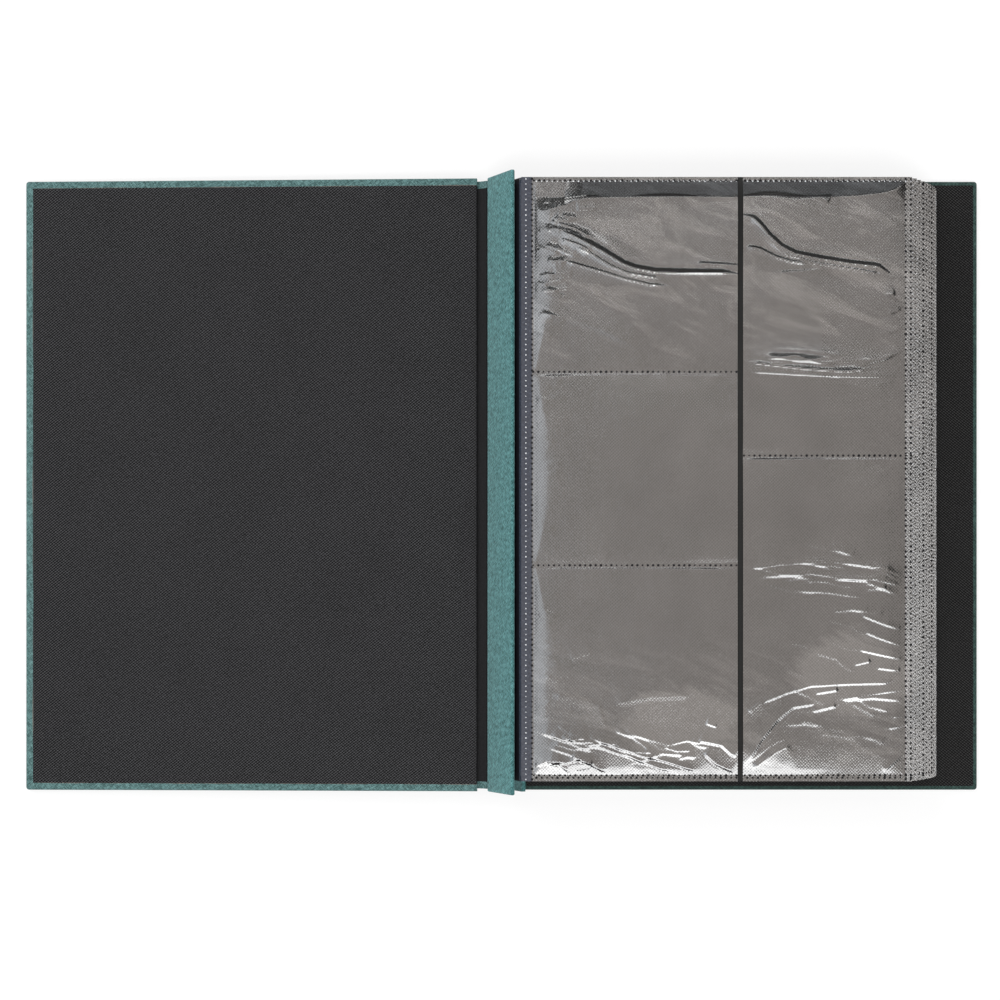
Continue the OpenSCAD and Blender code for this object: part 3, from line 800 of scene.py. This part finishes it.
def dressLeaf(k):
    a, f, place, body = albumSize, filmShape, leafPlace(k), "leaf_%02d" % k
    sheets = {"Border": [borderSheet(1), borderSheet(-1)], "Film": [filmSheet("left", -1), filmSheet("right", -1)]}
    if k > 1:
        sheets["Film"] += [filmSheet("left", 1), filmSheet("right", 1)]
    for column in ("left", "right") if k == 1 else ():  # the top leaf, pocket by pocket
        u0, u1 = columnSpan(column)
        half, u1 = a["leafHeight"] / 2, u1 - (f["foreWeld"] if column == "right" else 0)
        ends = [a["leafShift"] + y for y in [half] + rowSeams(column) + [-half]]
        for i, step in enumerate(f[column + "Grid"]):
            sheets["Film%s%d" % (column.title(), i + 1)] = [filmSheet(column, 1, (u0, u1, ends[i + 1], ends[i]), step)]
        if column == "right":
            fore = u1, u1 + f["foreWeld"], ends[-1], ends[0]
            sheets["FilmEdge"] = [filmSheet(column, 1, fore, f["edgeGrid"])]
    for name, parts in sheets.items():
        points, faces = joinSheets(parts)
        first = -1 if name == "Film" else 1  # the first face looks up, or down on the lower face
        finish = edgeFilm if name == "FilmEdge" or k > 1 else pocketFilm
        finish = plain["marginFilm"] if name == "Border" else finish
        piece = newPiece("leaf%02d%s" % (k, name), points, faces, finish, place, a["filmThick"], (0, 0, first))
        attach(piece, body)
        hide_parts("film_%02d" % k)


marginShape = {"tuck": 0.5, "bendFrom": 2.6, "bendTo": 1.0, "gutter": 1.3, "thinner": 0.1,
               "runPoints": 8, "bendPoints": 9, "alongPoints": 60}


def dressMargin(k):  # folded film from the clamp to the leaf, bending at the leaf's fold
    a, s = albumSize, marginShape
    mouth, fold = jointPoint("margin_%02d_fold" % k), jointPoint("leaf_%02d_turn" % k)
    along, over = (fold - mouth) / np.linalg.norm(fold - mouth), leafPlace(k)[1][0]
    start, end = fold - s["bendFrom"] * along, fold + s["bendTo"] * over
    path = [mouth + along * t for t in np.linspace(-s["tuck"], np.dot(start - mouth, along), s["runPoints"])[:-1]]
    path += [(1 - t) ** 2 * start + 2 * t * (1 - t) * fold + t * t * end for t in np.linspace(0, 1, s["bendPoints"])]
    half = a["leafHeight"] / 2
    ys = np.linspace(a["leafShift"] - half, a["leafShift"] + half, s["alongPoints"])
    points = np.array([p + np.array([0, y, 0]) for p in path for y in ys])
    faces, world = gridFaces(len(path), len(ys)), (np.zeros(3), np.eye(3))
    piece = newPiece("margin%02dFilm" % k, points, faces, plain["marginFilm"], world, 0, (0, 0, 1))
    piece.data.materials.append(plain["gutterFilm"])  # painted shade: film painted dark between the flap and the first bend
    paintedShade = [int(f.center.x * mm < fold[0] - s["gutter"]) for f in piece.data.polygons]
    piece.data.polygons.foreach_set("material_index", paintedShade)
    wall = piece.modifiers.new("wall", "SOLIDIFY")
    wall.thickness, wall.offset = (a["marginThick"] - s["thinner"]) / mm, 0
    settle(piece)
    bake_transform(piece)
    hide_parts("margin_%02d" % k)


for k in leafNumbers:
    dressLeaf(k)
    dressMargin(k)
print("leaves dressed")

# weld dots: small pressed domes along each weld, in mm, rows counted in from the leaf's edges
weldDots = {
    "pitch": 2.7, "dot": 1.3, "lowDot": 0.8, "paleDot": 0.8, "rise": 0.3, "uneven": (0.66, 1.16), "seed": 3,
    "sink": 0.03, "endGap": 1, "sideGap": 0.6, "foreRows": (3.4, 0.7), "headRow": 1.8, "headPale": 2.3,
    "footRow": 3.2, "footLow": 1.9, "foldPale": 2.0, "lowFore": 0.8, "lowPale": 2.1, "lowCorner": 7, "lowSlip": 0.37,
    "bead": 0.75, "beadPitch": 0.6, "beadIn": 0.4,
}


def makeDotTree():
    tree = bpy.data.node_groups.new("weldDots", "GeometryNodeTree")
    for key, kind in (("Geometry", "Geometry"), ("Pitch", "Float"), ("Dot", "Float"), ("Rise", "Float"),
                      ("Seed", "Int"), ("Finish", "Material")):
        tree.interface.new_socket(name=key, in_out="INPUT", socket_type="NodeSocket" + kind)
    tree.interface.new_socket(name="Geometry", in_out="OUTPUT", socket_type="NodeSocketGeometry")
    given, out = tree.nodes.new("NodeGroupInput"), tree.nodes.new("NodeGroupOutput")
    pitch, dot, rise, seed, finish = (given.outputs[key] for key in ("Pitch", "Dot", "Rise", "Seed", "Finish"))
    line = node(tree, "GeometryNodeMeshToCurve", Mesh=given.outputs["Geometry"])
    spread = node(tree, "GeometryNodeResampleCurve", mode="LENGTH", Curve=line.outputs[0], Length=pitch)
    dome = node(tree, "GeometryNodeMeshUVSphere", Segments=8, Rings=4, Radius=0.5)
    size = node(tree, "ShaderNodeCombineXYZ", X=dot, Y=dot, Z=rise)
    uneven = node(tree, "FunctionNodeRandomValue", data_type="FLOAT", Seed=seed)
    uneven.inputs[2].default_value, uneven.inputs[3].default_value = weldDots["uneven"]
    scaled = node(tree, "ShaderNodeVectorMath", operation="SCALE", Vector=size.outputs[0], Scale=uneven.outputs[1])
    put = node(tree, "GeometryNodeInstanceOnPoints", Points=spread.outputs[0], Instance=dome.outputs["Mesh"],
               Scale=scaled.outputs[0])
    real = node(tree, "GeometryNodeRealizeInstances", Geometry=put.outputs[0])
    coated = node(tree, "GeometryNodeSetMaterial", Geometry=real.outputs[0], Material=finish)
    feed(tree, out, {"Geometry": coated.outputs[0]})
    return tree


dotTree = makeDotTree()


def dotLines(name, k, lines, dot, finish, pitch=weldDots["pitch"]):  # lines are (start, end, height) on the leaf
    origin, axes = leafPlace(k)
    points = [p for start, end, z in lines for p in ((*start, z), (*end, z))]
    edges = [(2 * i, 2 * i + 1) for i in range(len(lines))]
    mesh = bpy.data.meshes.new(name)
    mesh.from_pydata(((origin + np.array(points) @ axes) / mm).tolist(), edges, [])
    piece = toScene(name, mesh)
    maker = piece.modifiers.new("dots", "NODES")
    maker.node_group = dotTree
    ids = {s.name: s.identifier for s in dotTree.interface.items_tree if s.in_out == "INPUT"}
    maker[ids["Pitch"]], maker[ids["Dot"]], maker[ids["Rise"]] = pitch / mm, dot / mm, weldDots["rise"] / mm
    maker[ids["Seed"]], maker[ids["Finish"]] = weldDots["seed"] + k, finish
    settle(piece)
    piece.data.polygons.foreach_set("use_smooth", [True] * len(piece.data.polygons))
    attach(piece, "leaf_%02d" % k)


def weldLeaf(k):
    a, d = albumSize, weldDots
    gap, side, half = d["endGap"], d["sideGap"], d["pitch"] / 2
    top, low = a["leafShift"] + a["leafHeight"] / 2, a["leafShift"] - a["leafHeight"] / 2
    z = a["coreThick"] / 2 + a["filmThick"] + d["sink"]
    spans = {column: columnSpan(column) for column in ("left", "right")}
    fold, fore = spans["left"][0], spans["right"][1]

    def upright(u, start=gap, slip=0.0, lift=0.0):
        return (u, low + start + slip), (u, top - gap), z + lift

    def level(u0, u1, v):
        return (u0, v), (u1, v), z

    dark, pale = [upright(fold)] + [upright(fore - u) for u in d["foreRows"]], [upright(d["foldPale"])]
    for u0, u1 in spans.values():
        pale.append(level(u0 + gap + half, u1 - side, top - d["headPale"]))
        dark += [level(u0 + gap, u1 - side, top - d["headRow"]), level(u0 + gap, u1 - side, low + d["footRow"]),
                 level(u0 + gap + half, u1 - side, low + d["footLow"])]
    for column, (u0, u1) in spans.items():
        dark += [level(u0 + side, u1 - side, y + a["leafShift"]) for y in rowSeams(column)]
    if k > 1:  # under other leaves only the fore edge shows
        slip = d["pitch"] * (k * d["lowSlip"] % 1)
        dark = [upright(fore - d["lowFore"], slip=slip)]
        dark += [level(fore - d["lowCorner"], fore - gap, v) for v in (top - d["headRow"], low + d["footRow"])]
        pale = [upright(fore - d["lowPale"], 2 * gap, slip, 0.05)]
    dot = d["dot"] if k % 3 == 1 else d["lowDot"]  # every third leaf's welds stand out
    dotLines("leaf%02dWeldDark" % k, k, dark, dot, plain["weldDark"])
    # the pale dots are painted highlights
    dotLines("leaf%02dWeldPale" % k, k, pale, d["paleDot"], plain["weldPale"])
    if k == a["leafCount"]:  # a pale bead along the lowest leaf's edge, a painted highlight
        dotLines("leaf%02dEdgeBead" % k, k, [upright(fore - d["beadIn"])], d["bead"], plain["weldPale"], d["beadPitch"])


for k in leafNumbers:
    weldLeaf(k)
print("welds dotted")

# camera straight down, as in the photograph, its axis a little below the frame's middle
cameraSet = {"place": (-0.0008, -0.062, 1.102), "lens": 72.9, "sensor": 36, "lower": 0.1, "near": 0.05, "far": 30}
camera = toScene("camera", bpy.data.cameras.new("camera"))
camera.location, camera.data.shift_y = cameraSet["place"], cameraSet["lower"]
camera.data.lens, camera.data.sensor_width = cameraSet["lens"], cameraSet["sensor"]
camera.data.clip_start, camera.data.clip_end = cameraSet["near"], cameraSet["far"]
scene.camera = camera

# lamps: a broad panel above that the film reflects, a low key from the head end, and bright bars that light its creases
# each has its place, the point it faces, its size in metres, watts and colour
lamps = {
    "panel": ((0.46, 0.06, 2.0), (0.46, 0.06, 0), (1.15, 1.25), 6.9, (1, 0.92, 0.86)),
    "key": ((-1.3, 1.5, 1.5), (0, 0, 0), (2.0, 1.4), 53, (1, 1, 1)),
    "foot": ((0.05, -1.05, 1.95), (0.05, -0.4, 0), (1.9, 0.85), 40, (1, 1, 1)),
    "head": ((0.2, 1.29, 2.0), (0.2, 1.29, 0), (1.6, 0.2), 1.15, (0.92, 0.96, 1)),
    "rim": ((0.46, 0.715, 2.0), (0.46, 0.715, 0), (1.15, 0.06), 2.0, (1, 1, 1)),
    "side": ((1.75, -0.35, 1.5), (0.2, -0.1, 0), (0.9, 0.3), 8, (1, 1, 1)),
    "back": ((-0.515, 0.06, 2.0), (-0.515, 0.06, 0), (0.8, 1.25), 9.0, (0.93, 0.96, 1)),
}


def addLamp(name, place, aim, size, power, colour):
    lamp = toScene(name, bpy.data.lights.new(name, "AREA"))
    lamp.data.shape, lamp.data.size, lamp.data.size_y = "RECTANGLE", *size
    lamp.data.energy, lamp.data.color, lamp.location = power, colour, place
    lamp.rotation_euler = (lamp.location - type(lamp.location)(aim)).to_track_quat("Z", "Y").to_euler()


for name, values in lamps.items():
    addLamp(name, *values)
roomTones = ((0.05, 0.76), (0.36, 0.45), (0.70, 0.09))  # height of the direction, from level to straight up, and tone
surround = bpy.data.worlds.new("surround")
scene.world = surround
surround.use_nodes = True
tree = surround.node_tree
way = node(tree, "ShaderNodeTexCoord").outputs["Generated"]
room = node(tree, "ShaderNodeValToRGB", Fac=node(tree, "ShaderNodeSeparateXYZ", Vector=way).outputs[2])
room.color_ramp.elements.new(0.5)
for stop, (height, tone) in zip(room.color_ramp.elements, roomTones):
    stop.position, stop.color = height, (tone, tone, tone, 1)
feed(tree, tree.nodes["Background"], {"Color": room.outputs[0]})

# floor: white to the camera, still darkened by the album's shadow
floorSet = {"half": 9, "drop": 0.0004, "colour": (0.72, 0.72, 0.72), "rough": 0.95, "specular": 0.1, "glow": 0.7}
floorMesh = bpy.data.meshes.new("floor")
h = floorSet["half"]
floorMesh.from_pydata([(x, y, -floorSet["drop"]) for x, y in ((-h, -h), (h, -h), (h, h), (-h, h))], [], [(0, 1, 2, 3)])
floor = toScene("floor", floorMesh)
floorPaint, tree, shader = newMaterial("floorPaint")
feed(tree, shader, {"Base Color": (*floorSet["colour"], 1), "Roughness": floorSet["rough"],
                    "Specular IOR Level": floorSet["specular"]})
white = node(tree, "ShaderNodeEmission", Strength=1.0)
ray = node(tree, "ShaderNodeLightPath")
seen = mathNode(tree, "MAXIMUM", ray.outputs["Is Camera Ray"], ray.outputs["Is Glossy Ray"])
seen = mathNode(tree, "MAXIMUM", seen, ray.outputs["Is Transmission Ray"])
mixed = node(tree, "ShaderNodeMixShader")
feed(tree, mixed, {0: times(tree, seen, floorSet["glow"]), 1: shader.outputs[0], 2: white.outputs[0]})
feed(tree, tree.nodes["Material Output"], {"Surface": mixed.outputs[0]})
floorMesh.materials.append(floorPaint)
scene.view_settings.view_transform = "Standard"
print("stage set")
